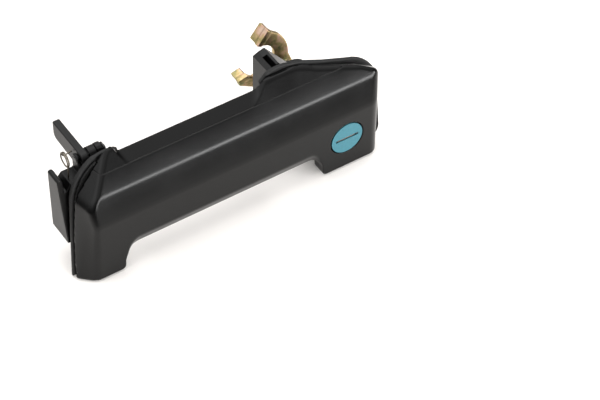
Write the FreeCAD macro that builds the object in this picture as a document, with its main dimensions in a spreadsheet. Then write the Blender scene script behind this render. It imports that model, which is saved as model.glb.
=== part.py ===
import FreeCAD, Part
import Sketcher
import math
import os

Vec = FreeCAD.Vector

# Outside door handle with lock. Frame: origin at the centre of the lock face,
# X along the handle, Y into the door along the lock axis, Z up. Millimetres.
SIZES = {
    # grip cover
    "wall": 2.6,
    "panel_top": 15.6,
    "panel_low": -1.2,
    "bar_low": -6.2,
    "foot_low": -19.2,
    "ridge_back": 4.2,
    "ridge_rise": 29.8,
    "seam_back": 11.3,
    "seam_rise": 36.4,
    "crown_back": 21.0,
    "crown_rise": 46.4,
    "scoop_back": 22.0,
    "scoop_rise": 44.0,
    "left_end": -149.6,
    "right_end": 26.6,
    "left_foot_inner": -126.0,
    "right_foot_inner": -13.9,
    "scoop_left": -117.0,
    "scoop_right": -39.0,
    # mounting plane, which leans back about X
    "plane_lean": 10.0,
    "plane_back": 14.6,
    "gasket_thick": 2.2,
    # distances in front of the mounting plane
    "cover_edge": -3.7,
    "plate_front": -3.6,
    "rail_edge": -3.4,
    "plate_thick": 1.4,
    "plate_inset": 1.6,
    # fixing screw
    "screw_x": 9.5,
    "screw_z": 21.5,
    "insert_deep": 6.4,
    "boss_radius": 5.6,
    # trigger
    "hinge_back": 28.0,
    "hinge_rise": 35.0,
    "hub_radius": 3.6,
    "pin_radius": 1.5,
    "pin_hole": 1.55,
    "pin_left": -135.0,
    "pin_length": 16.0,
    "paddle_left": -113.5,
    "paddle_length": 71.0,
    "paddle_top": 27.0,
    "paddle_low": -3.4,
    "arm_thick": 3.8,
    "arm_tall": 9.8,
    "arm_left": -132.9,
    "arm_end": 52.6,
    "square": 4.6,
    "clip_radius": 3.0,
    "loop_radius": 3.7,
    "loop_rise": 37.6,
    "loop_left": -140.4,
    "wire_radius": 0.35,
    # lock
    "face_radius": 9.0,
    "face_thick": 0.5,
    "plug_radius": 7.0,
    "plug_hole": 7.05,
    "barrel_radius": 11.2,
    "barrel_end": 52.0,
    "key_wide": 10.4,
    "key_tall": 2.6,
    "key_depth": 30.0,
    "claw_front": 59.0,
    "claw_thick": 2.6,
    "washer_thick": 0.95,
    "ear_deep": 8.0,
    "insert_radius": 4.0,
    "screw_hole": 2.5,
    "wafer_count": 8,
    "wafer_step": 2.4,
    "head_thick": 3.0,
    "tail_wide": 5.0,
    "tail_end": 63.2,
    "shutter_rise": 1.3,
}

doc = FreeCAD.newDocument("door_handle")
sheet = doc.addObject("Spreadsheet::Sheet", "Sizes")
for row, (alias, value) in enumerate(SIZES.items(), start=1):
    sheet.set(f"A{row}", alias)
    sheet.set(f"B{row}", str(value))
    sheet.setAlias(f"B{row}", alias)
doc.recompute()

LEAN = math.radians(SIZES["plane_lean"])
pieces = []


def bind(obj, prop, formula):
    """Bind a property to a formula in which words from the sheet are written as they are."""
    if isinstance(formula, (int, float)):
        formula = str(formula)
    for alias in sorted(SIZES, key=len, reverse=True):
        formula = formula.replace(f"<{alias}>", f"Sizes.{alias}")
    obj.setExpression(prop, formula)


def place(obj, x, y, z):
    for axis, formula in (("x", x), ("y", y), ("z", z)):
        bind(obj, f".Placement.Base.{axis}", formula)
    return obj


def box(name, x, y, z, length, width, height):
    """A box whose low corner is (x, y, z)."""
    obj = doc.addObject("Part::Box", name)
    bind(obj, "Length", length)
    bind(obj, "Width", width)
    bind(obj, "Height", height)
    return place(obj, x, y, z)


def rod(name, axis, x, y, z, radius, length):
    """A cylinder that starts at (x, y, z) and runs along the named axis."""
    turn = {"x": FreeCAD.Rotation(Vec(0, 1, 0), 90), "y": FreeCAD.Rotation(Vec(1, 0, 0), -90),
            "z": FreeCAD.Rotation()}[axis]
    obj = doc.addObject("Part::Cylinder", name)
    obj.Placement = FreeCAD.Placement(Vec(0, 0, 0), turn)
    bind(obj, "Radius", radius)
    bind(obj, "Height", length)
    return place(obj, x, y, z)


def profile(name, points, plane):
    """A closed sketch through points; a point written (u, v, 'arc') is the middle of an arc."""
    turns = {"yz": FreeCAD.Rotation(Vec(1, 1, 1), 120), "xz": FreeCAD.Rotation(Vec(1, 0, 0), 90),
             "xy": FreeCAD.Rotation()}
    sketch = doc.addObject("Sketcher::SketchObject", name)
    corners = [i for i, p in enumerate(points) if len(p) == 2]
    for here, there in zip(corners, corners[1:] + [corners[0] + len(points)]):
        start = Vec(points[here][0], points[here][1], 0)
        end = Vec(points[there % len(points)][0], points[there % len(points)][1], 0)
        if there - here == 2:
            middle = points[(here + 1) % len(points)]
            sketch.addGeometry(Part.Arc(start, Vec(middle[0], middle[1], 0), end))
        else:
            sketch.addGeometry(Part.LineSegment(start, end))
    sketch.Placement = FreeCAD.Placement(Vec(0, 0, 0), turns[plane])
    return sketch


def prism(name, points, plane, start, length):
    """The profile swept from `start` over `length` along the third axis."""
    sketch = profile(name + "_outline", points, plane)
    along = {"yz": "x", "xz": "y", "xy": "z"}[plane]
    bind(sketch, f".Placement.Base.{along}", start)
    obj = doc.addObject("Part::Extrusion", name)
    obj.Base = sketch
    obj.DirMode = "Custom"
    obj.Dir = {"x": Vec(1, 0, 0), "y": Vec(0, 1, 0), "z": Vec(0, 0, 1)}[along]
    obj.Solid = True
    bind(obj, "LengthFwd", length)
    return obj


def leaning(name, points, front, thick):
    """A flat plate parallel to the leaning mounting plane; `front` is its distance from it."""
    sketch = profile(name + "_outline", points, "xz")
    turn = FreeCAD.Rotation(Vec(1, 0, 0), 90 - SIZES["plane_lean"])
    away = Vec(0, math.cos(LEAN), -math.sin(LEAN))
    base = Vec(0, SIZES["plane_back"], 0) + away * front
    sketch.Placement = FreeCAD.Placement(base, turn)
    obj = doc.addObject("Part::Extrusion", name)
    obj.Base = sketch
    obj.DirMode = "Custom"
    obj.Dir = away
    obj.Solid = True
    bind(obj, "LengthFwd", thick)
    return obj


def cut(name, base, tool):
    obj = doc.addObject("Part::Cut", name)
    obj.Base, obj.Tool = base, tool
    obj.Refine = True
    return obj


def common(name, *shapes):
    obj = doc.addObject("Part::MultiCommon", name)
    obj.Shapes = list(shapes)
    obj.Refine = True
    return obj


def fuse(name, *shapes):
    obj = doc.addObject("Part::MultiFuse", name)
    obj.Shapes = list(shapes)
    obj.Refine = True
    return obj


def piece(label, obj):
    """Name a finished sub-part; its label is its file name."""
    obj.Label = label
    pieces.append(obj)
    return obj


def made(name, shape):
    """A piece whose curve no primitive makes, such as a wound spring."""
    obj = doc.addObject("Part::Feature", name)
    obj.Shape = shape
    return obj


def plane_y(z, offset=0.0):
    """Depth of the mounting plane at height z, moved by offset along its normal."""
    return SIZES["plane_back"] + z * math.tan(LEAN) + offset / math.cos(LEAN)


def wire_sweep(points, radius):
    """A round wire along a smooth curve through points."""
    curve = Part.BSplineCurve()
    curve.interpolate([Vec(*p) for p in points])
    path = Part.Wire([curve.toShape()])
    start, way = curve.value(curve.FirstParameter), curve.tangent(curve.FirstParameter)[0]
    ring = Part.Wire([Part.makeCircle(radius, start, way)])
    return path.makePipeShell([ring], True, True)


def coil(axis_point, radius, length, turns, steps=16):
    """Points of a helix along X from axis_point."""
    x0, y0, z0 = axis_point
    count = int(turns * steps)
    return [(x0 + length * i / count, y0 + radius * math.sin(2 * math.pi * i / steps),
             z0 + radius * math.cos(2 * math.pi * i / steps)) for i in range(count + 1)]


# ---------------------------------------------------------------- grip shell

def bar_section(inset):
    """Section of the bar and feet; inset is the wall left outside it."""
    size = SIZES
    band_mid = (1.05 + 1.1 * inset, 22.9 - 0.3 * inset, "arc")
    ridge = (size["ridge_back"] + 0.8 * inset, size["ridge_rise"] - 0.55 * inset)
    seam = (size["seam_back"] + 0.62 * inset, size["seam_rise"] - 0.85 * inset)
    crown = (size["crown_back"] + 0.5 * inset, size["crown_rise"] - inset)
    low = size["foot_low"] - 2.0 if inset else size["foot_low"]
    front = inset + (0.6 if inset else 0.0)
    return [(front, low), (front, size["panel_top"]), band_mid, ridge, seam, crown,
            (34.0, crown[1]), (34.0, low)]


def front_outline(inset):
    """Outline seen from the front, with the notch between the two feet."""
    left, right = SIZES["left_end"] + inset, SIZES["right_end"] - inset
    low = SIZES["foot_low"] + inset
    inner_left = SIZES["left_foot_inner"] - inset
    inner_right = SIZES["right_foot_inner"] + inset
    bar = SIZES["bar_low"] - (2.0 if inset else 0.0)
    curve = 7.0
    bend = curve * (1 - math.sqrt(0.5))
    return [(left, low), (left + 5.6, 24.0), (left + 11.4, 34.4, "arc"), (left + 22.0, 42.2 - inset),
            (left + 27.6, 45.0 - inset), (-22.0, 45.0 - inset), (-10.6, 40.4 - inset),
            (6.0, 33.8 - inset), (19.6 - inset, 27.4 - inset, "arc"), (right, 16.0), (right, low + 2.0),
            (right - 2.0, low), (inner_right + 2.0, low), (inner_right, low + 2.0),
            (inner_right, bar - curve), (inner_right - bend, bar - bend, "arc"),
            (inner_right - curve, bar), (inner_left + curve + 2.0, bar),
            (inner_left + bend, bar - bend - 1.0, "arc"), (inner_left, bar - curve - 2.0),
            (inner_left, low + 2.5), (inner_left - 2.5, low)]


def plan_outline(inset):
    """Outline seen from above, with the ends that turn back to the door."""
    left, right = SIZES["left_end"] + inset, SIZES["right_end"] - inset
    front, deep = inset, 34.0
    return [(left + 10.0, front), (left + 3.0, front + 2.6, "arc"), (left, front + 9.0), (left, deep),
            (right, deep), (right, front + 10.0), (right - 3.4, front + 2.9, "arc"),
            (right - 11.0, front)]


def body_solid(name, inset):
    spans = SIZES["left_end"] - 5.0, SIZES["right_end"] - SIZES["left_end"] + 10.0
    section = prism(name + "_section", bar_section(inset), "yz", spans[0], spans[1])
    outline = prism(name + "_front", front_outline(inset), "xz", -1.0, 36.0)
    plan = prism(name + "_plan", plan_outline(inset), "xy", "<foot_low> - 5", 80.0)
    return common(name, section, outline, plan)


outer = body_solid("outer", 0.0)
inner = body_solid("inner", SIZES["wall"])

lower_chamfer = prism("bar_chamfer", [(-1.0, SIZES["panel_low"]), (0.0, SIZES["panel_low"]),
                                      (2.3, SIZES["bar_low"]), (2.3, SIZES["bar_low"] - 1.0),
                                      (-1.0, SIZES["bar_low"] - 1.0)], "yz",
                      "<left_foot_inner> + 5", "<right_foot_inner> - <left_foot_inner> - 10")
scoop_far = SIZES["scoop_back"]
scoop_face = [(SIZES["seam_back"], SIZES["seam_rise"]), (scoop_far, SIZES["scoop_rise"]),
              (scoop_far, 60.0), (2.0, 60.0)]
scoop = prism("scoop", scoop_face, "yz", "<scoop_left>", "<scoop_right> - <scoop_left>")
whole_face = [(-170, -40), (50, -40), (50, 70), (-170, 70)]
behind = leaning("behind", whole_face, SIZES["rail_edge"], 40.0)
behind_cover = leaning("behind_cover", whole_face, SIZES["cover_edge"], 40.0)
above = box("above", -170, "<seam_back> - 14", "<seam_rise>", 230, 60, 30)
seam_gap = 0.15
below = box("below", -170, -10, "<seam_rise> - 60", 230, 60, 60 + seam_gap)
lock_opening = rod("lock_opening", "y", 0, -2, 0, "<face_radius> + 0.45", 20)
barrel_room = rod("barrel_room", "y", 0, 2.2, 0, "<barrel_radius> + 0.15", 40)

shell_tools = fuse("shell_tools", inner, lower_chamfer, scoop, behind)
shell = cut("shell", outer, shell_tools)
cover_tools = fuse("cover_tools", above, lock_opening, behind_cover)
piece("grip_cover", cut("cover", shell, cover_tools))


# ---------------------------------------------------------------- carrier: rail and two feet

def pad_left(grow):
    """Outline of the left pad in the mounting plane."""
    left = SIZES["left_end"] - 0.4 - grow
    return [(left, -19.6 - grow), (left + 5.6, 24.0), (left + 10.6, 33.6 + grow, "arc"),
            (left + 20.4, 42.0 + grow), (left + 25.0, 43.4 + grow), (-118.4 + grow, 43.4 + grow),
            (-117.0 + grow, 40.0), (-117.0 + grow, 12.0), (-125.4 + grow, -6.0),
            (-125.4 + grow, -19.6 - grow)]


def pad_right(grow):
    """Outline of the right pad in the mounting plane."""
    right = SIZES["right_end"] + 0.6 + grow
    return [(right - 5.8, -19.6 - grow), (right - 1.6, -17.4 - grow, "arc"), (right, -12.0),
            (right + 0.8, 12.0), (23.6 + grow, 25.0 + grow, "arc"),
            (11.6, 32.8 + grow), (-2.0, 37.6 + grow), (-14.0, 42.6 + grow), (-23.0, 45.2 + grow),
            (-33.0 - grow, 45.2 + grow), (-38.0 - grow, 41.4), (-38.0 - grow, 32.0),
            (-13.4 - grow, -6.0), (-13.4 - grow, -19.6 - grow)]


def foot_plate(name, outline):
    return leaning(name, outline(-SIZES["plate_inset"]), SIZES["plate_front"], SIZES["plate_thick"])


plate_left = foot_plate("plate_left", pad_left)
plate_right = foot_plate("plate_right", pad_right)
rail_tools = fuse("rail_tools", below, plate_left, plate_right)
piece("top_rail", cut("rail_cut", shell, rail_tools))

# front block, with a neck through the door skin and a hook behind it
block_low, block_back = -3.0, 31.0
hook_section = [(-148.0, block_low), (-133.6, block_low), (-133.6, 28.6), (-141.2, 28.6), (-144.0, 25.4),
                (-145.2, 25.4), (-145.2, 31.8), (-146.6, 33.2, "arc"), (-148.0, 31.8)]
block_start = plane_y(block_low, -2.6)
block_solid = prism("block_solid", hook_section, "xz", block_start, block_back - block_start)
skin_slot = leaning("skin_slot", [(-152, -8), (-141.2, -8), (-141.2, 40), (-152, 40)], -2.7, 4.0)
block_front = leaning("block_front", [(-152, -8), (-120, -8), (-120, 50), (-152, 50)], -40, 37.4)
front_block = cut("front_block", block_solid, fuse("block_tools", skin_slot, block_front))

hinge_y, hinge_z = SIZES["hinge_back"], SIZES["hinge_rise"]
arm_right = "<arm_left> + <arm_thick>"
lug_points = [(13.2, 16.0), (14.6, 26.0), (hinge_y - 3.4, hinge_z + 0.6), (hinge_y, hinge_z + 4.0, "arc"),
              (hinge_y + 3.4, hinge_z + 0.6), (hinge_y + 3.0, 27.0), (24.0, 16.0)]
lug_right = prism("lug_right", lug_points, "yz", arm_right + " + 4.9", 3.2)
thin_lug_points = [(13.0, 14.0), (14.0, 22.0), (hinge_y - 3.0, hinge_z), (hinge_y, hinge_z + 3.0, "arc"),
                   (hinge_y + 2.9, hinge_z), (hinge_y + 2.9, 14.0)]
lug_left = prism("lug_left", thin_lug_points, "yz", "<arm_left> - 2.0", 1.6)
lug_web = prism("lug_web", [(12.8, 12.0), (19.0, 12.0), (24.0, 16.0), (24.0, 19.0), (13.8, 19.0)], "yz",
                "<arm_left> - 2.0", "<arm_thick> + 10.1")
window_left, window_right = SIZES["arm_left"] - 0.4, SIZES["arm_left"] + SIZES["arm_thick"] + 4.7
lever_window = leaning("lever_window", [(window_left, 19.4), (window_right, 19.4), (window_right, 39.2),
                                        (window_left, 39.2)], -3.7, 30.0)
pin_tunnel = rod("pin_tunnel", "x", "<pin_left>", "<hinge_back>", "<hinge_rise>", "<pin_radius>",
                 "<pin_length>")
front_foot_solid = fuse("front_foot_solid", plate_left, front_block, lug_left, lug_right, lug_web)
front_foot_tools = fuse("front_foot_tools", lever_window, pin_tunnel)
piece("front_foot", cut("front_foot_cut", front_foot_solid, front_foot_tools))

screw_x, screw_z, insert_deep = SIZES["screw_x"], SIZES["screw_z"], SIZES["insert_deep"]
insert_y = plane_y(screw_z, -2.6) - insert_deep
pad_limit = leaning("pad_limit", [(-30, -30), (30, -30), (30, 40), (-30, 40)], -2.25, 30.0)
lock_collar = cut("lock_collar", rod("collar", "y", 0, 4.0, 0, "<barrel_radius> + 2.6", 12.0), pad_limit)
screw_boss = rod("screw_boss", "y", screw_x, insert_y - 0.7, screw_z, "<boss_radius>", insert_deep + 0.7)
screw_tunnel = rod("screw_tunnel", "y", screw_x, insert_y, screw_z, "<insert_radius>", 20)
rear_foot_solid = fuse("rear_foot_solid", plate_right, lock_collar, screw_boss)
rear_foot_tools = fuse("rear_foot_tools", barrel_room, screw_tunnel)
piece("rear_foot", cut("rear_foot_cut", rear_foot_solid, rear_foot_tools))


# ---------------------------------------------------------------- gaskets

FRONT_HOLLOW = [(-141.4, -13.6), (-130.6, -13.6), (-130.0, -6.0), (-120.4, 11.0), (-120.4, 38.6),
                (-124.6, 40.6), (-133.4, 35.4), (-141.4, 28.8)]
REAR_HOLLOW = [(-10.4, -13.6), (21.6, -13.6), (21.6, 13.0), (17.0, 22.0), (8.0, 28.2), (-6.0, 33.4),
               (-21.6, 39.6), (-31.0, 39.8), (-33.2, 37.8), (-33.2, 32.0), (-10.4, -5.0)]


def gasket(label, outline, hollow):
    plate = leaning(label + "_plate", outline(0.4), -2.2, "<gasket_thick>")
    return piece(label, cut(label + "_ring", plate, leaning(label + "_hollow", hollow, -3.0, 5)))


gasket("front_gasket", pad_left, FRONT_HOLLOW)
gasket("rear_gasket", pad_right, REAR_HOLLOW)


# ---------------------------------------------------------------- trigger

crank_left = arm_right + " + 0.9"
hub = rod("hub", "x", crank_left, "<hinge_back>", "<hinge_rise>", "<hub_radius>", 3.6)
crank = prism("crank", [(hinge_y - 2.4, hinge_z + 2.7), (hinge_y + 2.2, hinge_z - 2.8), (22.0, 25.0),
                        (14.4, 20.4), (10.6, 20.4), (10.6, 26.4), (17.4, 28.8)], "yz", crank_left, 3.4)
bridge = prism("bridge", [(10.6, 20.4), (10.6, 26.4), (13.4, 26.4), (13.0, 20.4)], "yz", crank_left,
               "<paddle_left> - <arm_left> - <arm_thick> + 3.0")
paddle_top, paddle_low = SIZES["paddle_top"], SIZES["paddle_low"]
paddle_points = [(12.0, paddle_top + 2.0), (14.4, paddle_top + 3.0),
                 (plane_y(paddle_top, 1.0) - 2.0, paddle_top), (plane_y(0, 1.0), 0.0),
                 (plane_y(paddle_low, 1.0), paddle_low), (16.6, -5.2), (15.8, -6.8), (12.0, -5.4),
                 (11.7, -2.0), (10.8, 20.4)]
paddle = prism("paddle", paddle_points, "yz", "<paddle_left>", "<paddle_length>")
square_low = hinge_y - SIZES["square"] / 2, hinge_z - SIZES["square"] / 2
square = box("square", "<arm_left> + 0.6", *square_low, "<arm_thick> + 0.6", "<square>", "<square>")
trigger_bore = rod("trigger_bore", "x", "<pin_left>", "<hinge_back>", "<hinge_rise>", "<pin_hole>",
                   "<pin_length>")
trigger_solid = fuse("trigger_solid", hub, crank, bridge, paddle, square)
piece("trigger", cut("trigger_cut", trigger_solid, trigger_bore))

arm_mid = hinge_z - 1.4
half_tall = SIZES["arm_tall"] / 2
arm_points = [(hinge_y - 4.4, hinge_z), (hinge_y - 3.1, hinge_z + 3.1, "arc"),
              (hinge_y, arm_mid + half_tall),
              (SIZES["arm_end"], arm_mid + half_tall), (SIZES["arm_end"], arm_mid - 1.2),
              (SIZES["arm_end"] - 1.0, arm_mid - half_tall + 0.9, "arc"),
              (SIZES["arm_end"] - 3.2, arm_mid - half_tall), (hinge_y, arm_mid - half_tall - 0.9),
              (hinge_y - 3.1, hinge_z - 3.1, "arc")]
arm_plate = prism("arm_plate", arm_points, "yz", "<arm_left>", "<arm_thick>")
arm_square = box("arm_square", "<arm_left> + 0.5", *square_low, "<arm_thick>", "<square>", "<square>")
arm_bore = rod("arm_bore", "x", "<pin_left>", "<hinge_back>", "<hinge_rise>", "<pin_hole>", "<pin_length>")
piece("release_arm", cut("arm_cut", arm_plate, fuse("arm_socket", arm_square, arm_bore)))

piece("trigger_pin", rod("pin", "x", "<pin_left>", "<hinge_back>", "<hinge_rise>", "<pin_radius>",
                         "<pin_length>"))
clip_ring = rod("clip_ring", "x", "<pin_left> + <pin_length> - 1.4", "<hinge_back>", "<hinge_rise>",
                "<clip_radius>", 0.6)
clip_bore = rod("clip_bore", "x", "<pin_left> + <pin_length> - 2", "<hinge_back>", "<hinge_rise>",
                "<pin_radius>", 2)
clip_mouth = box("clip_mouth", "<pin_left> + <pin_length> - 2", hinge_y, hinge_z - 0.9, 2, 4, 1.8)
piece("pin_clip", cut("clip_cut", clip_ring, fuse("clip_tools", clip_bore, clip_mouth)))

loop_y, loop_z, loop_radius = hinge_y, SIZES["loop_rise"], SIZES["loop_radius"]
loop_left, loop_turns, loop_steps = SIZES["loop_left"], 1.5, 16


def spring_points():
    """The return spring: a leg on the block, one and a half turns, a leg on the arm."""
    points = [(loop_left, loop_y - loop_radius + 0.5, 29.0), (loop_left, loop_y - loop_radius, 33.0)]
    for step in range(int(loop_turns * loop_steps) + 1):
        turn = 2 * math.pi * step / loop_steps
        points.append((loop_left + 0.8 * step / loop_steps, loop_y - loop_radius * math.cos(turn),
                       loop_z + loop_radius * math.sin(turn)))
    return points + [(-137.6, 32.6, 35.6), (-135.4, 33.2, 35.4), (-133.4, 33.4, 35.4)]


piece("trigger_spring", made("spring_wire", wire_sweep(spring_points(), SIZES["wire_radius"])))

piece("bump_stop", box("stop", "<paddle_left> + 20", 3.2, 1.0, 30, 0.6, 4.0))


# ---------------------------------------------------------------- lock

barrel_far = SIZES["barrel_end"]
face_cap = cut("face_cap", rod("cap_disc", "y", 0, 0, 0, "<face_radius>", "<face_thick>"),
               box("cap_slot", -6.6, -1, -0.75, 13.2, 3, 1.5))
piece("lock_face", face_cap)

plug_head = rod("plug_head", "y", 0, "<face_thick>", 0, "<face_radius>", "<head_thick>")
plug_shank = rod("plug_shank", "y", 0, "<face_thick> + <head_thick>", 0, "<plug_radius>", 50.1)
half_tail = "0 - <tail_wide> / 2"
tail = box("tail", half_tail, 53.0, half_tail, "<tail_wide>", "<tail_end> - 53.0", "<tail_wide>")
plug_solid = fuse("plug_solid", plug_head, plug_shank, tail)
key_path = box("key_path", "0 - <key_wide> / 2", 0, "0 - <key_tall> / 2", "<key_wide>", "<key_depth>",
               "<key_tall>")
shutter_room = box("shutter_room", -6.0, "<face_thick>", -2.0, 12.0, 3.2, 4.0)
shutter_seat = rod("shutter_seat", "x", -6.6, "<face_thick> + 1.1", "<shutter_rise>", 0.3, 13.2)
ring_groove = cut("ring_groove", rod("groove_out", "y", 0, 6.0, 0, 8, 1.7),
                  rod("groove_in", "y", 0, 5.0, 0, "<plug_radius> - 1.1", 4))
wafer_starts = [11.0 + SIZES["wafer_step"] * i for i in range(SIZES["wafer_count"])]
wafer_slots = [box(f"wafer_slot_{i}", -3.0, start, -5.6, 6.0, 1.3, 11.2)
               for i, start in enumerate(wafer_starts)]
clip_groove = cut("clip_groove", rod("clip_out", "y", 0, 52.1, 0, 8, 1.0),
                  rod("clip_in", "y", 0, 51.5, 0, "<plug_radius> - 0.8", 2))
screw_bore = rod("screw_bore", "y", 0, 54.0, 0, 1.6, 14)
plug_tools = fuse("plug_tools", key_path, shutter_room, shutter_seat, ring_groove, clip_groove,
                  screw_bore, *wafer_slots)
piece("lock_plug", cut("plug_cut", plug_solid, plug_tools))

seat = SIZES["face_thick"] + SIZES["head_thick"] + 0.1
barrel = rod("barrel", "y", 0, "<wall> + 0.6", 0, "<barrel_radius>", "<barrel_end> - <wall> - 0.6")
rear_lug = prism("rear_lug", [(-31.0, 41.0), (-28.0, 42.4), (-24.5, 43.4), (-11.5, 27.5), (-8.0, 20.0),
                              (-8.0, -5.0), (-12.6, -5.0), (-31.0, 12.0)], "xz", 24.5, 13.0)
horn_slot = box("horn_slot", -28.4, 24.0, 26.0, 2.6, 9.0, 20.0)
housing_tools = fuse("housing_tools", rod("head_room", "y", 0, 0, 0, "<face_radius> + 0.3", seat),
                     rod("plug_room", "y", 0, 0, 0, "<plug_hole>", 60), horn_slot)
piece("lock_housing", cut("housing_cut", fuse("housing_solid", barrel, rear_lug), housing_tools))

shutter = box("shutter", -5.0, "<face_thick> + 0.5", -1.4, 10.0, 0.6, 2.9)
shutter_barrel = rod("shutter_barrel", "x", -5.0, "<face_thick> + 1.1", "<shutter_rise>", 0.6, 10.0)
shutter_bore = rod("shutter_bore", "x", -6, "<face_thick> + 1.1", "<shutter_rise>", 0.33, 12)
piece("key_shutter", cut("shutter_cut", fuse("shutter_solid", shutter, shutter_barrel), shutter_bore))
piece("shutter_pin", rod("shutter_rod", "x", -6.6, "<face_thick> + 1.1", "<shutter_rise>", 0.3, 13.2))

wafer_parts = []
for i, start in enumerate(wafer_starts):
    blank = box(f"wafer_{i}", -2.9, start + 0.15, -5.4, 5.8, 1.0, 10.8)
    gap = box(f"wafer_gap_{i}", -2.0, start, -1.9 + 0.3 * (i % 3), 4.0, 1.4, 3.6)
    wafer_parts.append(cut(f"wafer_cut_{i}", blank, gap))
piece("wafers", fuse("wafer_set", *wafer_parts))

piece("plug_seal", cut("seal_cut", rod("seal_out", "y", 0, 6.1, 0, "<plug_radius>", 1.5),
                       rod("seal_in", "y", 0, 6.0, 0, "<plug_radius> - 1.1", 2)))
clip_disc = cut("clip_disc", rod("clip_disc_out", "y", 0, 52.2, 0, "<plug_radius> + 1.4", 0.8),
                rod("clip_disc_in", "y", 0, 52.0, 0, "<plug_radius> - 0.8", 2))
piece("plug_clip", cut("clip_open", clip_disc, box("clip_gap", -2, 51.8, -9, 4, 2, 5)))

centring = [(x, y, z) for y, x, z in coil((barrel_far + 2.5, 0, 0), 5.2, 2.6, 2.5)]
piece("centring_spring", made("centring_wire", wire_sweep(centring, 0.4)))

claw_y = SIZES["claw_front"]
piece("claw_washer", cut("washer_cut", rod("washer", "y", 0, claw_y - 1.0, 0, 6.0, "<washer_thick>"),
                         box("washer_square", -2.5, claw_y - 2, -2.5, 5, 3, 5)))

claw_points = [(-14.2, 22.3), (-8.2, 29.8), (-1.9, 24.9), (2.9, 17.2, "arc"), (4.3, 9.0), (8.4, -1.6),
               (6.0, -8.2, "arc"), (-1.0, -9.4), (-16.9, -4.2), (-25.0, 0.6), (-25.6, 3.9), (-20.4, 5.2),
               (-17.0, 2.7), (-9.0, 4.6), (-4.4, 12.0, "arc"), (-8.1, 19.8)]
claw_plate = prism("claw_plate", claw_points, "xz", "<claw_front>", "<claw_thick>")
upper_ear = prism("upper_ear", [(-14.2, 22.3), (-8.2, 29.8), (-6.3, 28.3), (-12.3, 20.8)], "xz",
                  "<claw_front>", "<ear_deep>")
lower_ear = prism("lower_ear", [(-25.6, 3.9), (-20.4, 5.2), (-19.8, 2.8), (-25.0, 1.5)], "xz",
                  "<claw_front>", "<ear_deep>")
claw_square = box("claw_square", -2.5, claw_y - 1, -2.5, 5, 5, 5)
piece("lock_claw", cut("claw_cut", fuse("claw_solid", claw_plate, upper_ear, lower_ear), claw_square))

screw_head = rod("screw_head", "y", 0, 63.2, 0, 4.4, 2.4)
screw_shank = rod("screw_shank", "y", 0, 54.0, 0, 1.6, 10.0)
screw_slot = box("screw_slot", -5, 64.6, -0.5, 10, 2, 1)
piece("claw_screw", cut("screw_cut", fuse("screw_solid", screw_head, screw_shank), screw_slot))

piece("screw_insert", cut("insert_cut", rod("insert", "y", screw_x, insert_y, screw_z, "<insert_radius>",
                                            insert_deep),
                          rod("insert_bore", "y", screw_x, insert_y - 1, screw_z, "<screw_hole>", 12)))

doc.recompute()
os.makedirs("parts", exist_ok=True)
for obj in pieces:
    if "Invalid" in obj.State or obj.Shape.isNull() or not obj.Shape.isValid():
        raise RuntimeError(f"{obj.Label} did not build: {obj.State}")
    obj.Shape.exportStep(f"parts/{obj.Label}.step")
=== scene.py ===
import math

import bmesh
import bpy
import numpy as np
from mathutils import Matrix, Vector


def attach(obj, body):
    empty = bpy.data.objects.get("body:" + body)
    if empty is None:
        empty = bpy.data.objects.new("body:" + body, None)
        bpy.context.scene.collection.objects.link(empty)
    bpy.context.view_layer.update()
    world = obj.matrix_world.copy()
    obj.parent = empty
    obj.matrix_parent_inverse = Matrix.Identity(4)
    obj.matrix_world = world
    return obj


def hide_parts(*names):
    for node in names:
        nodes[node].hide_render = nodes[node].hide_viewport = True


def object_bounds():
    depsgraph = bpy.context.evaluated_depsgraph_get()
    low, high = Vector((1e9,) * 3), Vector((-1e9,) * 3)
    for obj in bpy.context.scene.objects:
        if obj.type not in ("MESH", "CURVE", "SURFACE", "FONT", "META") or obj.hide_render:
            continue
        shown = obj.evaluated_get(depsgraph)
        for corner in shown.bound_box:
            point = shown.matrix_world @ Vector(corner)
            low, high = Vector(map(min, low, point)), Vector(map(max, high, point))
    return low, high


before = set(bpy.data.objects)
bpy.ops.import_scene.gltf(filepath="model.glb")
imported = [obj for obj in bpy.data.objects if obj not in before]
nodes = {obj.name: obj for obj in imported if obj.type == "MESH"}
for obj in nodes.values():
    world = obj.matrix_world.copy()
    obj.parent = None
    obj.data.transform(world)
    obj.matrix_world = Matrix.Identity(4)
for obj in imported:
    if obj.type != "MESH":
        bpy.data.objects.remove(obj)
cad_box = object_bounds()

# Shapes below are worked out in millimetres, in the part's own frame, and are
# made in metres. X runs along the handle, Y into the door and Z up.
MM = 0.001

# The handle sits on a plane that leans into the door as it rises. At the height of
# the lock it is PLANE_BACK behind the lock face. Depths are measured behind it.
LEAN = math.radians(10.0)
PLANE_BACK = 14.6
COVER_BACK, GASKET_FRONT = -3.6, -2.2

# The line between cover and rail. It is pressed into the cover's material.
SEAM_HEIGHT = 36.4

# The trigger and the release arm turn on a pin along X, at this y and z.
LEVER_AXIS = (28.0, 35.0)
PIN_RADIUS, BORE_RADIUS = 1.5, 1.55


# ---------------------------------------------------------------- camera

CAMERA_PLACE = (-431.8, -591.7, 729.0)
CAMERA_TURN, CAMERA_RISE, CAMERA_ROLL = -34.353, 46.595, 1.119
LENS, SENSOR_WIDTH, CLIP_END = 126.0, 36.0, 20.0


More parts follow.
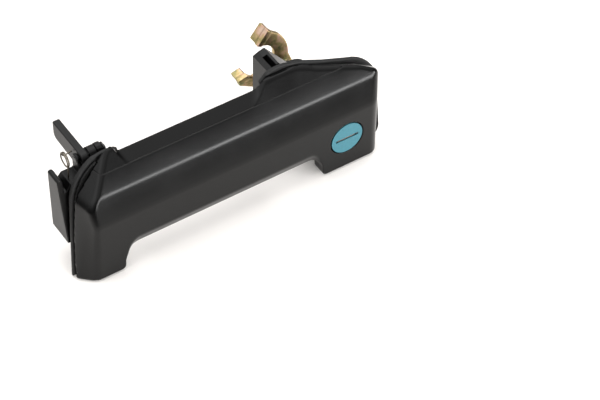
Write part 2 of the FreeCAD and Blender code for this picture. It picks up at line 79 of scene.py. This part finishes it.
def add_camera():
    """A long lens looking down from the front left of the handle, a touch off level."""
    turn, rise, roll = math.radians(CAMERA_TURN), math.radians(CAMERA_RISE), math.radians(CAMERA_ROLL)
    back = Vector((math.sin(turn) * math.cos(rise), -math.cos(turn) * math.cos(rise), math.sin(rise)))
    right = Vector((0, 0, 1)).cross(back).normalized()
    up = back.cross(right)
    right_rolled = right * math.cos(roll) + up * math.sin(roll)
    up_rolled = up * math.cos(roll) - right * math.sin(roll)
    data = bpy.data.cameras.new("camera")
    data.lens = LENS
    data.sensor_width = SENSOR_WIDTH
    data.clip_end = CLIP_END
    camera = bpy.data.objects.new("camera", data)
    rotation = Matrix((right_rolled, up_rolled, back)).transposed().to_4x4()
    camera.matrix_world = Matrix.Translation(Vector(CAMERA_PLACE) * MM) @ rotation
    bpy.context.scene.collection.objects.link(camera)
    bpy.context.scene.camera = camera


add_camera()


# ---------------------------------------------------------------- rounded solids
# A solid is a field: a function of x, y and z that is negative inside it and
# gives about the distance to its surface in millimetres.

def both(a, b, blend=0.0):
    """What two solids share, with their edge rounded. On a square edge `blend` is about
    the radius, and the same number rounds a blunt edge over a wider band."""
    near = np.maximum(blend - np.abs(a - b), 0.0)
    return np.maximum(a, b) + near ** 2 / np.maximum(4 * blend, 0.001)


def either(a, b, blend=0.0):
    """Two solids joined, with the inner corner where they meet filled."""
    return -both(-a, -b, blend)


def without(a, b, blend=0.0):
    """The first solid with the second cut away."""
    return both(a, -b, blend)


def beyond(u, v, start, end):
    """Distance to the right of the line from start to end; the solid is on its left."""
    du, dv = end[0] - start[0], end[1] - start[1]
    return ((u - start[0]) * dv - (v - start[1]) * du) / math.hypot(du, dv)


def arc_points(start, middle, end, count=8):
    """Points along the arc through three points, without the first one."""
    (ax, ay), (bx, by), (cx, cy) = start, middle, end
    twice = 2 * (ax * (by - cy) + bx * (cy - ay) + cx * (ay - by))
    sa, sb, sc = ax * ax + ay * ay, bx * bx + by * by, cx * cx + cy * cy
    ox = (sa * (by - cy) + sb * (cy - ay) + sc * (ay - by)) / twice
    oy = (sa * (cx - bx) + sb * (ax - cx) + sc * (bx - ax)) / twice
    radius = math.hypot(ax - ox, ay - oy)
    angles = [math.atan2(p[1] - oy, p[0] - ox) for p in (start, middle, end)]
    sweep = (angles[2] - angles[0]) % (2 * math.pi)
    if (angles[1] - angles[0]) % (2 * math.pi) > sweep:
        sweep -= 2 * math.pi
    steps = [angles[0] + sweep * (i + 1) / count for i in range(count)]
    return [(ox + radius * math.cos(t), oy + radius * math.sin(t)) for t in steps]


def drawn(points):
    """A closed outline; a point written (u, v, 'arc') is the middle of an arc."""
    result = [tuple(points[0])]
    i = 1
    while i <= len(points):
        point = points[i % len(points)]
        if len(point) == 3:
            result += arc_points(result[-1], point[:2], points[(i + 1) % len(points)])
            i += 2
        else:
            result.append(tuple(point))
            i += 1
    return result[:-1]


def outline(u, v, points):
    """Distance to a closed outline, negative inside it."""
    corners = drawn(points)
    near = np.full(u.shape, np.inf)
    inside = np.zeros(u.shape, bool)
    for (ax, ay), (bx, by) in zip(corners, corners[1:] + corners[:1]):
        ex, ey = bx - ax, by - ay
        t = np.clip(((u - ax) * ex + (v - ay) * ey) / (ex * ex + ey * ey), 0.0, 1.0)
        near = np.minimum(near, (u - ax - t * ex) ** 2 + (v - ay - t * ey) ** 2)
        if ay != by:
            crosses = ((ay > v) != (by > v)) & (u < ax + (v - ay) * ex / ey)
            inside ^= crosses
    return np.sqrt(near) * np.where(inside, -1.0, 1.0)


def plate(flat, depth, low, high, radius):
    """An outline given a thickness from low to high, with rounded edges."""
    return both(flat, np.maximum(low - depth, depth - high), radius)


def plane_offset(y, z):
    """Distance behind the leaning mounting plane."""
    return (y - PLANE_BACK) * math.cos(LEAN) - z * math.sin(LEAN)


def plane_up(y, z):
    """Height measured along the mounting plane."""
    return (y - PLANE_BACK) * math.sin(LEAN) + z * math.cos(LEAN)


# The corners of a grid cell, how often a vertex is pulled onto the surface, how far at
# most in cells each time, and the least squared slope that a pull divides by.
CORNERS = [(i, j, k) for i in (0, 1) for j in (0, 1) for k in (0, 1)]
PULLS = 3
LONGEST_PULL = 0.4
LEAST_SLOPE = 0.2


def slope_of(field, points, step=0.02):
    """The field's gradient at points."""
    parts = []
    for axis in np.eye(3) * step:
        parts.append(field(*(points + axis).T) - field(*(points - axis).T))
    return np.stack(parts, axis=1) / (2 * step)


def crossed_cells(values):
    """The grid cells that the surface crosses, and in each the middle of its edge crossings."""
    shape = np.array(values.shape) - 1
    corner = [values[i:i + shape[0], j:j + shape[1], k:k + shape[2]] for i, j, k in CORNERS]
    inside = sum((c < 0).astype(int) for c in corner)
    cells = np.argwhere((inside > 0) & (inside < 8))
    at = [c[tuple(cells.T)] for c in corner]
    total, count = np.zeros((len(cells), 3)), np.zeros(len(cells))
    for a in range(8):
        for b in range(a + 1, 8):
            ends = np.array(CORNERS[a]), np.array(CORNERS[b])
            if np.abs(ends[0] - ends[1]).sum() != 1:
                continue
            crossed = (at[a] < 0) != (at[b] < 0)
            part = at[a][crossed] / (at[a][crossed] - at[b][crossed])
            total[crossed] += ends[0] + part[:, None] * (ends[1] - ends[0])
            count[crossed] += 1
    return cells, total / count[:, None]


def pulled(field, points, longest):
    """Points moved onto the field's surface, each step no longer than a given length."""
    for _ in range(PULLS):
        slope = slope_of(field, points)
        size = np.maximum((slope ** 2).sum(axis=1), LEAST_SLOPE)
        move = -(field(*points.T) / size)[:, None] * slope
        points = points + np.clip(move, -longest, longest)
    return points


def faces_between(cells, values):
    """One four-sided face across each grid edge that the surface crosses, facing outwards."""
    shape = np.array(values.shape) - 1
    number = np.full(shape, -1)
    number[tuple(cells.T)] = np.arange(len(cells))
    faces = []
    for axis in range(3):
        one, two = (axis + 1) % 3, (axis + 2) % 3
        ends = [slice(1, n) for n in shape]
        ends[axis] = slice(0, shape[axis])
        here = values[tuple(ends)]
        ends[axis] = slice(1, shape[axis] + 1)
        there = values[tuple(ends)]
        edges = np.argwhere((here < 0) != (there < 0))
        leaving = (here < 0)[tuple(edges.T)]
        edges += [0 if a == axis else 1 for a in range(3)]
        quad = []
        for back_one, back_two in ((1, 1), (0, 1), (0, 0), (1, 0)):
            cell = edges.copy()
            cell[:, one] -= back_one
            cell[:, two] -= back_two
            quad.append(number[tuple(cell.T)])
        quad = np.stack(quad, axis=1)
        faces.append(np.where(leaving[:, None], quad, quad[:, ::-1]))
    return np.concatenate(faces)


def skin(name, field, low, high, step):
    """A smooth mesh of a field's surface inside a box, from a grid with cells of one step."""
    margin = 1.5 * step
    axes = [np.arange(a - margin, b + margin, step) for a, b in zip(low, high)]
    values = field(*np.meshgrid(*axes, indexing="ij"))
    cells, middles = crossed_cells(values)
    start = np.array([axis[0] for axis in axes])
    points = pulled(field, start + step * (cells + middles), LONGEST_PULL * step)
    faces = faces_between(cells, values)
    mesh = bpy.data.meshes.new(name)
    mesh.from_pydata((points * MM).tolist(), [], faces.tolist())
    mesh.polygons.foreach_set("use_smooth", [True] * len(mesh.polygons))
    normals = slope_of(field, points)
    normals /= np.linalg.norm(normals, axis=1)[:, None] + 1e-9
    mesh.normals_split_custom_set_from_vertices(normals.tolist())
    made = bpy.data.objects.new(name, mesh)
    bpy.context.scene.collection.objects.link(made)
    return made


# ---------------------------------------------------------------- materials

class Shader:
    """Adds nodes to one material and joins them up."""

    def __init__(self, name):
        self.material = bpy.data.materials.new(name)
        self.material.use_nodes = True
        self.tree = self.material.node_tree
        self.surface = self.tree.nodes["Principled BSDF"]

    def set(self, **values):
        """Sets sockets of the surface; an underscore stands for a space in a socket's name."""
        for key, value in values.items():
            socket = self.surface.inputs[key.replace("_", " ")]
            socket.default_value = (*value, 1.0) if isinstance(value, tuple) else value
        return self

    def join(self, output, socket):
        self.tree.links.new(output, self.surface.inputs[socket] if isinstance(socket, str) else socket)

    def noise(self, scale, detail=2.0, rough=0.5, stretch=(1.0, 1.0, 1.0)):
        """Noise fixed to the object."""
        where = self.tree.nodes.new("ShaderNodeTexCoord")
        mapping = self.tree.nodes.new("ShaderNodeMapping")
        mapping.inputs["Scale"].default_value = stretch
        made = self.tree.nodes.new("ShaderNodeTexNoise")
        made.inputs["Scale"].default_value = scale
        made.inputs["Detail"].default_value = detail
        made.inputs["Roughness"].default_value = rough
        self.join(where.outputs["Object"], mapping.inputs["Vector"])
        self.join(mapping.outputs["Vector"], made.inputs["Vector"])
        return made.outputs["Fac"]

    def ramp(self, source, *stops):
        """Colours along a factor; each stop is a place and a colour."""
        made = self.tree.nodes.new("ShaderNodeValToRGB")
        line = made.color_ramp.elements
        while len(line) < len(stops):
            line.new(0.5)
        for element, (place, color) in zip(line, stops):
            element.position = place
            element.color = (*color, 1.0)
        self.join(source, made.inputs["Fac"])
        return made.outputs["Color"]

    def spread(self, source, low, high):
        """A factor from 0 to 1 turned into one from low to high."""
        made = self.tree.nodes.new("ShaderNodeMapRange")
        made.inputs["To Min"].default_value = low
        made.inputs["To Max"].default_value = high
        self.join(source, made.inputs["Value"])
        return made.outputs["Result"]

    def groove(self, height, half, depth):
        """Presses a fine level line into the surface; sizes are in metres."""
        where = self.tree.nodes.new("ShaderNodeTexCoord")
        parts = self.tree.nodes.new("ShaderNodeSeparateXYZ")
        across = self.tree.nodes.new("ShaderNodeMapRange")
        across.inputs["From Min"].default_value = height - half
        across.inputs["From Max"].default_value = height + half
        self.join(where.outputs["Object"], parts.inputs["Vector"])
        self.join(parts.outputs["Z"], across.inputs["Value"])
        cut = self.ramp(across.outputs["Result"], (0.0, grey(1.0)), (0.5, grey(0.0)), (1.0, grey(1.0)))
        self.bump(cut, 1.0, depth)

    def bump(self, source, strength, distance):
        """Adds relief on top of any relief that the surface has."""
        made = self.tree.nodes.new("ShaderNodeBump")
        for link in self.surface.inputs["Normal"].links:
            self.join(link.from_socket, made.inputs["Normal"])
        made.inputs["Strength"].default_value = strength
        made.inputs["Distance"].default_value = distance
        self.join(source, made.inputs["Height"])
        self.join(made.outputs["Normal"], "Normal")


def grey(value):
    return (value, value, value)


# The half width and depth of the seam line in millimetres, and the relief of moulded
# grain in metres.
SEAM_HALF, SEAM_DEPTH = 0.22, 0.3
GRAIN = 0.00005


def grained_plastic(name, shade, rough, strength=0.35, seam=None):
    """Moulded black plastic: spark-eroded grain, with handling marks that change its sheen."""
    look = Shader(name).set(Specular_IOR_Level=0.22)
    marks = look.noise(55.0, 5.0, 0.6)
    look.join(look.ramp(marks, (0.3, grey(shade * 0.8)), (0.7, grey(shade * 1.2))), "Base Color")
    look.join(look.spread(marks, rough - 0.05, rough + 0.06), "Roughness")
    if seam:
        look.groove(seam * MM, SEAM_HALF * MM, SEAM_DEPTH * MM)
    look.bump(look.noise(2600.0, 2.0, 0.55), strength, GRAIN)
    return look.material


def rubber(name):
    """Moulded rubber with a dusty bloom."""
    look = Shader(name).set(Specular_IOR_Level=0.35)
    dust = look.noise(220.0, 5.0, 0.65)
    look.join(look.ramp(dust, (0.3, grey(0.004)), (0.75, grey(0.012))), "Base Color")
    look.join(look.spread(dust, 0.5, 0.75), "Roughness")
    look.bump(look.noise(1500.0, 3.0, 0.6), 0.3, GRAIN)
    return look.material


def metal(name, color, rough, stretch=(1.0, 1.0, 12.0)):
    """Drawn or turned metal with fine lines along one way."""
    look = Shader(name).set(Metallic=1.0)
    lines = look.noise(700.0, 3.0, 0.6, stretch)
    dull = tuple(c * 0.8 for c in color)
    look.join(look.ramp(lines, (0.3, dull), (0.7, color)), "Base Color")
    look.join(look.spread(lines, rough - 0.06, rough + 0.12), "Roughness")
    look.bump(lines, 0.12, 0.00003)
    return look.material


def chromate(name):
    """Yellow zinc: bronze and gold with drifting green and rose patches and a dull sheen."""
    look = Shader(name).set(Metallic=1.0)
    drift = look.noise(170.0, 4.0, 0.6)
    color = look.ramp(drift, (0.34, (0.20, 0.20, 0.09)), (0.44, (0.36, 0.29, 0.13)),
                      (0.52, (0.52, 0.38, 0.20)), (0.60, (0.62, 0.40, 0.28)), (0.70, (0.70, 0.52, 0.40)))
    look.join(color, "Base Color")
    look.join(look.spread(look.noise(500.0, 3.0, 0.6), 0.24, 0.48), "Roughness")
    look.bump(look.noise(900.0, 3.0, 0.6), 0.2, GRAIN)
    return look.material


def film(name):
    """Peel-off film over the lock face: teal, slightly cloudy and speckled."""
    look = Shader(name).set(Specular_IOR_Level=0.4)
    cloud = look.noise(900.0, 5.0, 0.7)
    look.join(look.ramp(cloud, (0.3, (0.020, 0.120, 0.155)), (0.7, (0.042, 0.180, 0.225))), "Base Color")
    look.join(look.spread(cloud, 0.35, 0.55), "Roughness")
    look.bump(look.noise(1200.0, 2.0, 0.5), 0.2, 0.00004)
    return look.material


LOOKS = {
    "cover": grained_plastic("cover_plastic", 0.0012, 0.24, seam=SEAM_HEIGHT),
    "carrier": grained_plastic("carrier_plastic", 0.0015, 0.36),
    "lever": grained_plastic("lever_coating", 0.006, 0.38, 0.5),
    "housing": grained_plastic("housing_coating", 0.004, 0.36),
    "rubber": rubber("gasket_rubber"),
    "steel": metal("plain_steel", (0.62, 0.61, 0.59), 0.30),
    "wire": metal("spring_wire", (0.16, 0.14, 0.11), 0.34),
    "dark_steel": metal("dark_steel", (0.07, 0.07, 0.07), 0.38),
    "shutter": metal("shutter_steel", (0.62, 0.56, 0.50), 0.60),
    "plug": metal("plug_metal", (0.30, 0.30, 0.30), 0.38),
    "brass": metal("brass", (0.80, 0.60, 0.28), 0.30),
    "chromate": chromate("yellow_zinc"),
    "film": film("blue_film"),
}

NODE_LOOKS = {
    "grip_cover": "cover", "top_rail": "carrier", "front_foot": "carrier", "rear_foot": "carrier",
    "front_gasket": "rubber", "rear_gasket": "rubber", "trigger": "carrier", "release_arm": "lever",
    "trigger_pin": "dark_steel", "pin_clip": "dark_steel", "trigger_spring": "wire", "bump_stop": "rubber",
    "lock_face": "film", "lock_plug": "plug", "lock_housing": "housing", "key_shutter": "shutter",
    "shutter_pin": "steel", "wafers": "brass", "plug_seal": "rubber", "plug_clip": "steel",
    "centring_spring": "wire", "claw_washer": "steel", "lock_claw": "chromate", "claw_screw": "steel",
    "screw_insert": "brass",
}


def dress(made, look):
    """Gives an object one of the looks."""
    made.data.materials.clear()
    made.data.materials.append(LOOKS[look])


def finish_piece(made, look, body, slot, *stands_for):
    """Dresses a visual piece, ties it to its body and hides the CAD nodes it stands for."""
    dress(made, look)
    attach(made, body)
    if stands_for:
        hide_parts(*stands_for)


for node_name, look_name in NODE_LOOKS.items():
    dress(nodes[node_name], look_name)


# ---------------------------------------------------------------- grip shell

# The front seen from the side, in y and z, up to the seam between cover and rail.
SEAM = (11.3, SEAM_HEIGHT)
FRONT_LINE = [(0.0, 15.6), (2.3, 22.0), (5.2, 28.6), (8.0, 32.4), SEAM]
FRONT_BLENDS = [0.5, 0.3, 0.3, 0.3]

# Each end's x at y = 0, and how far it runs out for each millimetre of depth. The left
# one leans in, and runs out less, for each millimetre of height.
LEFT_END, LEFT_LEAN = -141.0, 0.052
LEFT_FLARE, LEFT_FLARE_LOSS = 0.70, 0.0195
RIGHT_END, RIGHT_FLARE = 17.6, 0.66

# The flat that cuts the upper left corner: a point on it, and the way it faces.
HIP_AT = (-136.5, 5.0, 28.8)
HIP_FACING = (-0.70, -0.16, 0.695)

# The outline where the shell meets the door, in x and z.
RIM = [(-151.0, -22.0), (-146.4, 8.1), (-143.7, 23.5), (-137.4, 33.4, "arc"), (-128.0, 42.0),
       (-124.4, 44.4), (-122.0, 44.9, "arc"), (-119.0, 44.9), (-24.0, 44.6), (-17.0, 43.4, "arc"),
       (-10.7, 40.5), (6.1, 33.8), (11.9, 31.7), (20.4, 26.8), (24.6, 22.4, "arc"), (26.2, 17.0),
       (26.2, -22.0)]

# How far the rim's wall draws in for each millimetre in front of its edge, or flares
# out where it is negative, at four places along x.
DRAFT_AT = [-28.0, 4.0, 22.0, 27.0]
DRAFT = [0.1, -0.45, -0.4, 0.06]

# The undersides of the bar and the feet, the feet's inner sides, and their roundings.
BAR_LOW, FOOT_LOW = -7.0, -19.2
LEFT_FOOT_INNER, RIGHT_FOOT_INNER = -126.0, -13.9
FOOT_ROUND, LEFT_FILLET, RIGHT_FILLET = 3.0, 9.0, 8.0

# The wall, which is thicker at the front panel, how far the hollow runs past the bar's
# underside, and the radius and depth of the opening for the lock.
WALL, PANEL_WALL = 2.0, 3.3
OVERCUT = 2.0
LOCK_OPENING, LOCK_OPENING_DEPTH = 9.55, 12.0


def shell_front(y, z):
    """The front: a flat panel, a band that leans back, a ridge, and a slope up to the pads."""
    front = -y
    for start, end, blend in zip(FRONT_LINE, FRONT_LINE[1:], FRONT_BLENDS):
        front = both(front, -beyond(y, z, start, end), blend)
    return front


def shell_ends(x, y, z):
    """The two ends, which turn back to the door."""
    flare = LEFT_FLARE - LEFT_FLARE_LOSS * z
    left = (LEFT_END + LEFT_LEAN * z - flare * y - x) / np.sqrt(1 + flare ** 2)
    right = (x - RIGHT_END - RIGHT_FLARE * y) / math.hypot(1.0, RIGHT_FLARE)
    return left, right


def shell_low(x, y, z):
    """What is above the bar's underside, with the two feet joined on by fillets."""
    chamfer = beyond(y, z, (0.0, -1.4), (2.6, BAR_LOW))
    bar = both(BAR_LOW - z, chamfer, 0.4)
    sole = FOOT_LOW - z
    left_foot = both(x - LEFT_FOOT_INNER, sole, FOOT_ROUND)
    right_foot = both(RIGHT_FOOT_INNER - x, sole, FOOT_ROUND)
    return either(either(bar, left_foot, LEFT_FILLET), right_foot, RIGHT_FILLET)


def foot_hollow(x, z):
    """Room inside the feet, which have soles, and behind the bar, which is open below."""
    sole = FOOT_LOW + WALL - z
    left_foot = both(x - LEFT_FOOT_INNER + WALL, sole)
    right_foot = both(RIGHT_FOOT_INNER + WALL - x, sole)
    return either(either(BAR_LOW - OVERCUT - z, left_foot), right_foot)


def scoop(x, y, z):
    """The shallow recess in the top between the two pads."""
    floor = beyond(y, z, SEAM, (18.3, 40.9))
    left = beyond(x, z, (-118.0, 38.0), (-120.4, 44.0))
    right = -beyond(x, z, (-43.0, 38.0), (-36.8, 44.0))
    return both(floor, both(-left, -right), 3.0)


def shell_outside(x, y, z):
    """The block that the shell is hollowed from."""
    depth = plane_offset(y, z)
    left, right = shell_ends(x, y, z)
    hip = sum(n * (c - at) for n, c, at in zip(HIP_FACING, (x, y, z), HIP_AT))
    left_round = np.interp(z, [14.0, 28.0], [2.0, 4.5])
    front = both(shell_front(y, z), left, left_round)
    front = both(front, hip, 1.6)
    front = both(front, right, 3.0)
    draft = np.interp(x, DRAFT_AT, DRAFT)
    wall = (outline(x, z, RIM) + np.maximum(COVER_BACK - depth, 0.0) * draft) / np.sqrt(1 + draft ** 2)
    return without(both(front, wall, 2.2), scoop(x, y, z), 0.25)


def shell(x, y, z):
    """The cover and the rail: a shell that is open towards the door and below the bar."""
    outside = shell_outside(x, y, z)
    hollow = both(both(outside + WALL, PANEL_WALL - y), foot_hollow(x, z))
    outside = both(outside, shell_low(x, y, z), 0.5)
    body = both(without(outside, hollow, 0.4), plane_offset(y, z) - COVER_BACK, 0.6)
    opening = np.hypot(x, z) - LOCK_OPENING
    return without(body, both(opening, y - LOCK_OPENING_DEPTH), 0.5)


cover = skin("shell_skin", shell, (-151.0, -0.2, -19.6), (28.0, 21.0, 45.4), step=0.8)
finish_piece(cover, "cover", "handle", "black_cover", "grip_cover", "top_rail")


# ---------------------------------------------------------------- gaskets

# The outlines of the gaskets on the mounting plane, in x and in height along the plane.
FRONT_PAD = [(-150.2, -19.8), (-144.4, 24.0), (-139.2, 34.0, "arc"), (-130.2, 40.8), (-126.0, 41.4),
             (-121.0, 41.5, "arc"), (-118.0, 41.0), (-116.6, 40.0), (-116.6, 12.0), (-125.0, -6.0),
             (-125.0, -19.8)]
REAR_PAD = [(18.6, -19.0), (22.0, -16.4, "arc"), (23.8, -9.0), (28.4, 12.0), (24.0, 25.3, "arc"),
            (11.6, 33.2), (-2.0, 38.0), (-14.0, 43.0), (-23.0, 45.4), (-29.0, 45.9, "arc"),
            (-34.6, 44.6), (-38.4, 41.4), (-38.4, 32.0), (-16.0, -2.0), (-11.6, -10.0), (-11.6, -19.0)]
GASKET_WIDTH, GASKET_ROUND = 3.4, 0.9


def gasket(name, pad, low, high, stands_for):
    """A rubber ring that follows a pad's outline."""
    def ring(x, y, z):
        flat = outline(x, plane_up(y, z), pad)
        depth = plane_offset(y, z)
        thick = plate(flat, depth, GASKET_FRONT, 0.0, GASKET_ROUND)
        return without(thick, flat + GASKET_WIDTH, 0.3)

    made = skin(name, ring, low, high, step=0.6)
    finish_piece(made, "rubber", "handle", "black_rubber", stands_for)


gasket("front_seal", FRONT_PAD, (-150.4, 8.8, -19.9), (-116.0, 22.8, 45.7), "front_gasket")
gasket("rear_seal", REAR_PAD, (-38.8, 8.8, -19.9), (28.8, 22.8, 45.7), "rear_gasket")


# ---------------------------------------------------------------- front foot

# The slot for the door's skin runs in from the hook block's left side to HOOK_RIGHT.
HOOK_RIGHT = -141.2
SLOT_MIDDLE, SLOT_HALF = -0.7, 2.0


def hook_block(x, y, z):
    """The block behind the plate, with a slot that takes the edge of the door's skin."""
    depth = plane_offset(y, z)
    side = [(-148.0, -3.0), (-133.6, -3.0), (-133.6, 28.6), (HOOK_RIGHT, 28.6), (-144.0, 25.4),
            (-145.2, 25.4), (-145.2, 31.4), (-146.6, 32.9, "arc"), (-148.0, 31.4)]
    block = plate(outline(x, z, side), y, 8.0, 31.0, 0.7)
    block = both(block, -2.6 - depth)
    slot = both(x - HOOK_RIGHT, np.abs(depth - SLOT_MIDDLE) - SLOT_HALF)
    return without(block, slot, 0.3)


def hinge_lug(x, y, z):
    """The thick lug on the lever's right, in +X."""
    side = [(13.2, 16.0), (14.6, 26.0), (24.6, 35.6), (28.0, 39.0, "arc"), (31.4, 35.6), (31.0, 27.0),
            (24.0, 16.0)]
    return plate(outline(y, z, side), x, -124.2, -121.0, 0.5)


def thin_lug(x, y, z):
    """The thin lug on the lever's left, and the web that joins the two lugs."""
    side = [(13.0, 14.0), (14.0, 22.0), (25.0, 35.0), (28.0, 38.0, "arc"), (30.9, 35.0), (30.9, 14.0)]
    lug = plate(outline(y, z, side), x, -134.9, -133.3, 0.4)
    web_side = [(12.8, 12.0), (19.0, 12.0), (24.0, 16.0), (24.0, 19.0), (13.8, 19.0)]
    return either(lug, plate(outline(y, z, web_side), x, -134.9, -121.0, 0.3))


def lever_window(x, y, z):
    """Room for the lever, narrower through the plate than behind it."""
    up = plane_up(y, z)
    left = np.where(plane_offset(y, z) < -2.0, -128.8, -133.3)
    return both(np.maximum(left - x, x + 124.4), np.maximum(19.4 - up, up - 39.2))


def front_foot(x, y, z):
    """The front bracket: a plate with the hook block and the two hinge lugs behind it."""
    flat = outline(x, plane_up(y, z), FRONT_PAD) + 1.8
    base = plate(flat, plane_offset(y, z), COVER_BACK, GASKET_FRONT, 0.3)
    whole = either(either(either(base, hook_block(x, y, z)), hinge_lug(x, y, z)), thin_lug(x, y, z))
    pin = np.hypot(y - LEVER_AXIS[0], z - LEVER_AXIS[1]) - PIN_RADIUS
    return without(without(whole, lever_window(x, y, z)), pin)


foot = skin("front_bracket", front_foot, (-148.6, 7.6, -18.0), (-118.0, 31.6, 44.6), step=0.6)
finish_piece(foot, "carrier", "handle", "black_carrier", "front_foot")


# ---------------------------------------------------------------- release arm

def release_arm(x, y, z):
    """The blade that pushes the latch."""
    side = [(23.6, 35.0), (24.9, 38.1, "arc"), (28.0, 38.5), (52.6, 38.5), (52.6, 32.6), (51.6, 29.6, "arc"),
            (49.4, 28.7), (28.0, 27.8), (24.9, 31.9, "arc")]
    blade = plate(outline(y, z, side), x, -132.9, -129.1, 0.6)
    bore = np.hypot(y - LEVER_AXIS[0], z - LEVER_AXIS[1]) - BORE_RADIUS
    return without(blade, bore)


arm = skin("release_blade", release_arm, (-133.0, 23.4, 27.6), (-129.0, 52.8, 38.8), step=0.4)
finish_piece(arm, "lever", "lever", "black_lever", "release_arm")


# ---------------------------------------------------------------- lock claw

# Where the claw's sheet starts and ends and its ears end, in y, the rounding of its
# edges, and half the square hole that the plug's end goes through.
SHEET_FRONT, SHEET_BACK, EAR_END = 59.0, 61.6, 67.0
SHEET_ROUND = 0.7
SQUARE_HALF = 2.5


def lock_claw(x, y, z):
    """A bent sheet with a mouth for the lock rod between two ears."""
    face = [(-14.2, 22.3), (-8.2, 29.8), (-1.9, 24.9), (2.9, 17.2, "arc"), (4.3, 9.0), (8.4, -1.6),
            (6.0, -8.2, "arc"), (-1.0, -9.4), (-16.9, -4.2), (-25.0, 0.6), (-25.6, 3.9), (-20.4, 5.2),
            (-17.0, 2.7), (-9.0, 4.6), (-4.4, 12.0, "arc"), (-8.1, 19.8)]
    sheet = plate(outline(x, z, face), y, SHEET_FRONT, SHEET_BACK, SHEET_ROUND)
    upper = [(-14.2, 22.3), (-8.2, 29.8), (-6.3, 28.3), (-12.3, 20.8)]
    upper_ear = plate(outline(x, z, upper), y, SHEET_FRONT, EAR_END, SHEET_ROUND)
    lower = [(-25.6, 3.9), (-20.4, 5.2), (-19.8, 2.8), (-25.0, 1.5)]
    lower_ear = plate(outline(x, z, lower), y, SHEET_FRONT, EAR_END, SHEET_ROUND)
    whole = either(either(sheet, upper_ear, 1.0), lower_ear, 1.0)
    square = np.maximum(np.abs(x), np.abs(z)) - SQUARE_HALF
    return without(whole, square)


claw = skin("claw_plate", lock_claw, (-26.0, 58.8, -10.0), (8.8, 67.2, 30.2), step=0.5)
finish_piece(claw, "chromate", "plug", "yellow_zinc", "lock_claw")


# ---------------------------------------------------------------- floor and light

# All in metres. The floor carries a painted pool of light: pale under the handle, fading to dark grey away
# from it.
FLOOR_RADIUS, FLOOR_GAP = 1.6, 0.0005
FLOOR_CENTRE = (-0.035, -0.018)
LIT_POOL_REACH, LIT_FALLOFF_REACH = 0.215, 0.30


def add_floor():
    """A round matt floor just below the handle, with a painted pool of light that fades to dark grey away
    from it.
    """
    mesh = bpy.data.meshes.new("floor")
    shape = bmesh.new()
    bmesh.ops.create_circle(shape, cap_ends=True, segments=96, radius=FLOOR_RADIUS)
    shape.to_mesh(mesh)
    shape.free()
    floor = bpy.data.objects.new("floor", mesh)
    floor.location = (*FLOOR_CENTRE, cad_box[0][2] - FLOOR_GAP)
    look = Shader("floor_pale").set(Roughness=0.9, Specular_IOR_Level=0.1)
    where = look.tree.nodes.new("ShaderNodeTexCoord")
    reach = look.tree.nodes.new("ShaderNodeVectorMath")
    reach.operation = "LENGTH"
    look.join(where.outputs["Object"], reach.inputs[0])
    # Painted light: the floor's colour is pale near its centre and darkens with distance, standing in for
    # light that falls off around the handle.
    pale, dark = (0.95, 0.92, 0.89), grey(0.05)
    painted_light_fade = look.ramp(reach.outputs["Value"], (0.0, pale), (LIT_POOL_REACH, pale), (LIT_FALLOFF_REACH, dark))
    look.join(painted_light_fade, "Base Color")
    look.bump(look.noise(40.0), 0.02, 0.0001)
    mesh.materials.append(look.material)
    bpy.context.scene.collection.objects.link(floor)


LIGHT_AIM = (-0.06, 0.0, 0.0)


def add_light(name, place, size, power):
    """A rectangular lamp turned towards the handle."""
    data = bpy.data.lights.new(name, "AREA")
    data.shape = "RECTANGLE"
    data.size, data.size_y = size
    data.energy = power
    light = bpy.data.objects.new(name, data)
    light.location = place
    light.rotation_euler = (Vector(LIGHT_AIM) - Vector(place)).to_track_quat("-Z", "Y").to_euler()
    bpy.context.scene.collection.objects.link(light)


# The sky's brightest way, and its brightness at four values of how nearly a direction
# points that way.
SKY_TOWARDS = (-0.12, 0.30, 0.95)
SKY_STOPS = ((0.0, 0.05), (0.12, 0.05), (0.32, 0.34), (0.62, 1.1))
SKY_STRENGTH = 1.3


def add_sky():
    """A dome that is bright overhead and dark near the horizon in front of the handle."""
    sky = bpy.data.worlds.new("soft_sky")
    sky.use_nodes = True
    tree = sky.node_tree
    where = tree.nodes.new("ShaderNodeTexCoord")
    turned = tree.nodes.new("ShaderNodeVectorMath")
    turned.operation = "DOT_PRODUCT"
    turned.inputs[1].default_value = SKY_TOWARDS
    shade = tree.nodes.new("ShaderNodeValToRGB")
    line = shade.color_ramp.elements
    while len(line) < len(SKY_STOPS):
        line.new(0.5)
    for element, (place, value) in zip(line, SKY_STOPS):
        element.position = place
        element.color = (*grey(value), 1.0)
    tree.links.new(where.outputs["Generated"], turned.inputs[0])
    tree.links.new(turned.outputs["Value"], shade.inputs["Fac"])
    tree.links.new(shade.outputs["Color"], tree.nodes["Background"].inputs["Color"])
    tree.nodes["Background"].inputs["Strength"].default_value = SKY_STRENGTH
    bpy.context.scene.world = sky


add_floor()
add_sky()
add_light("front_soft", (0.45, -1.13, 0.30), (1.8, 0.20), 27.0)
add_light("left_soft", (-1.3, 0.1, 0.9), (0.8, 0.8), 2.0)
add_light("top_soft", (0.1, 0.5, 1.7), (1.6, 1.6), 12.0)
bpy.context.scene.view_settings.view_transform = "Standard"
